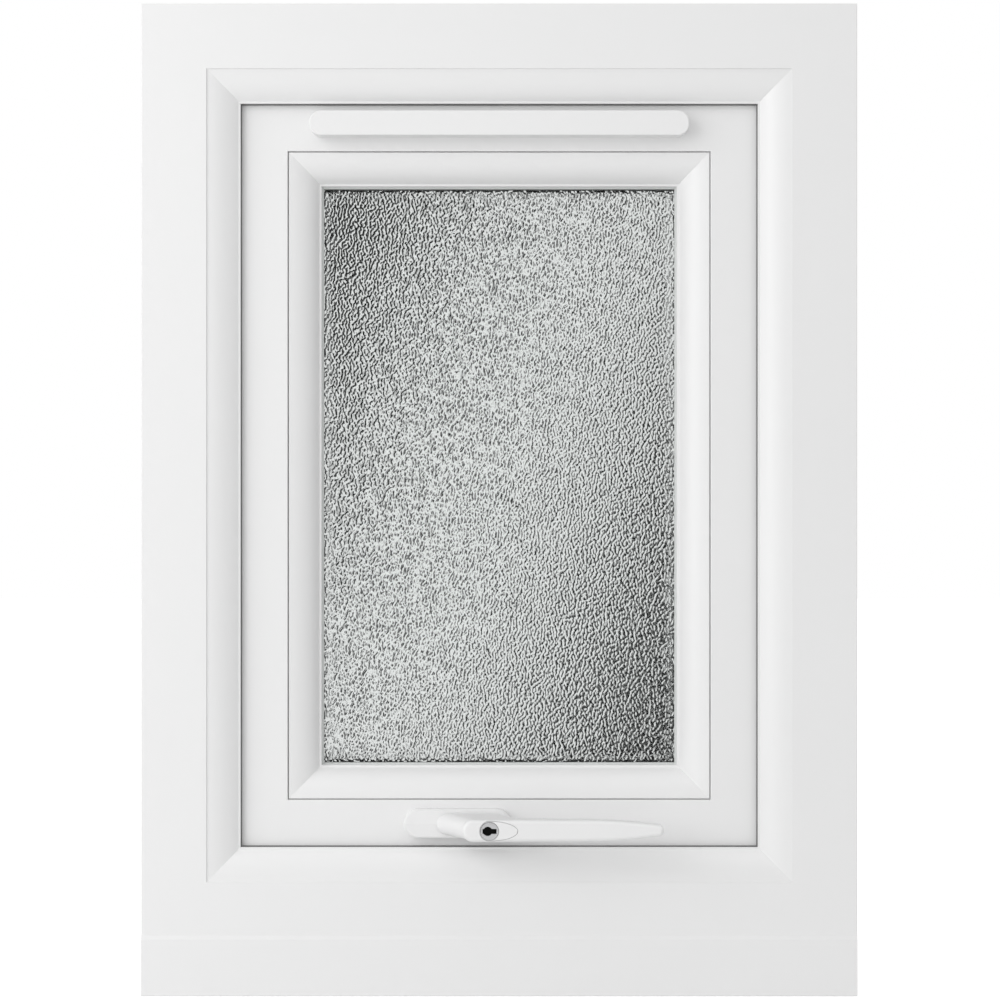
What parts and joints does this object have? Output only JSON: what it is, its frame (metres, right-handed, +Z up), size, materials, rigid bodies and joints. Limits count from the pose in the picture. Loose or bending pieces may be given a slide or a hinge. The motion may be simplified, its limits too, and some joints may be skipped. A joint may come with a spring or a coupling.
{
  "type": "top-hung window",
  "caption": "White plastic top-hung window with moulded frame and sash, obscure double glazing, inline locking handle, vent cover and projecting cill.",
  "frame": {"origin": "on the cill's underside, at mid-width, at the middle of the frame's depth", "axes": "+X to the right seen from the room, +Y out to the weather side, +Z up"},
  "size_m": [0.44, 0.1763, 0.61],
  "materials": {
    "white_profile": "smooth white extruded plastic, low gloss",
    "white_moulding": "smooth white moulded plastic",
    "white_handle": "white powder-coated die-cast metal",
    "black_seal": "matt black rubber",
    "grey_seal": "matt dark grey rubber",
    "grey_gasket": "matt pale grey rubber",
    "clear_glass": "clear float glass",
    "obscure_glass": "stippled obscure glass",
    "spacer_metal": "dark grey spacer",
    "lock_metal": "brushed nickel-plated lock face",
    "spindle_steel": "zinc-plated steel"
  },
  "bodies": {
    "window": {"frame_head": "white_profile", "frame_bottom": "white_profile", "frame_left": "white_profile", "frame_right": "white_profile", "sash_head": "white_profile", "sash_bottom": "white_profile", "sash_left": "white_profile", "sash_right": "white_profile", "bead_head": "white_profile", "bead_bottom": "white_profile", "bead_left": "white_profile", "bead_right": "white_profile", "cill": "white_profile", "cill_cap_left": "white_moulding", "cill_cap_right": "white_moulding", "vent_cover": "white_moulding", "vent_hood": "white_moulding", "frame_seal": "grey_seal", "sash_seal": "black_seal", "inner_gasket": "grey_gasket", "outer_gasket": "black_seal", "inner_pane": "clear_glass", "outer_pane": "obscure_glass", "spacer_bar": "spacer_metal", "handle_base": "white_handle"},
    "handle": {"handle_lever": "white_handle", "lock_insert": "white_handle", "lock_cylinder": "lock_metal", "handle_spindle": "spindle_steel"}
  },
  "joints": [
    {"name": "handle_turn", "type": "hinge", "parent": "window", "child": "handle", "pos_m": [-0.0258, -0.029, 0.1049], "axis": [0, -1, 0], "range_deg": [0, 90]}
  ]
}
